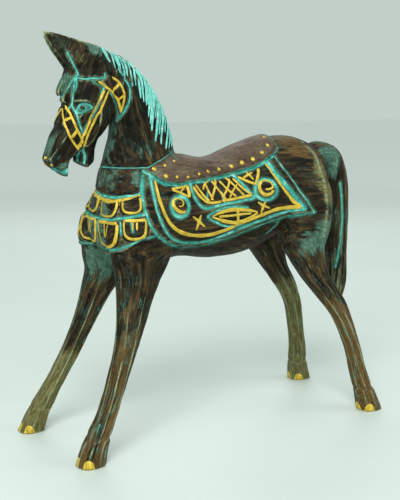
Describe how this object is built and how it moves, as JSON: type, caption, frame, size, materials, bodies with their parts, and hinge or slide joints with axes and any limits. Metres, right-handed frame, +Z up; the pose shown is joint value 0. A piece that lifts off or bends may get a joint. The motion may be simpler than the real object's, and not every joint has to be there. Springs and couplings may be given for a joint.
{
  "type": "horse figurine",
  "caption": "Standing carved wooden horse figurine with an antique bronze paint finish, wearing a bridle, scalloped collar, saddle and patterned blanket.",
  "frame": {"origin": "on the surface the horse stands on, at the centre of its footprint box, between the four feet", "axes": "+Z up, the horse faces -X, its left side is -Y"},
  "size_m": [0.381, 0.164, 0.4],
  "materials": {
    "body_wood": "dark brown antique bronze paint rubbed back to the grain, verdigris in the grooves, gold painted trim",
    "head_wood": "dark brown antique bronze paint with turquoise mane locks and gold painted bridle lines",
    "leg_wood": "brown paint rubbed to olive and ochre on the knife-cut ridges, gold painted toes",
    "tail_wood": "dark brown antique bronze paint with a verdigris streak",
    "gold_paint": "satin gold yellow paint laid on with a brush, slightly raised",
    "dowel_wood": "bare turned wood, glued in and out of sight"
  },
  "bodies": {
    "root": {"torso": "body_wood", "neck_and_head": "head_wood", "front_leg_left": "leg_wood", "front_leg_right": "leg_wood", "rear_leg_left": "leg_wood", "rear_leg_right": "leg_wood", "tail": "tail_wood", "neck_dowel_front": "dowel_wood", "neck_dowel_rear": "dowel_wood", "front_dowel_left": "dowel_wood", "front_dowel_right": "dowel_wood", "rear_dowel_left": "dowel_wood", "rear_dowel_right": "dowel_wood", "tail_dowel": "dowel_wood"}
  },
  "joints": []
}
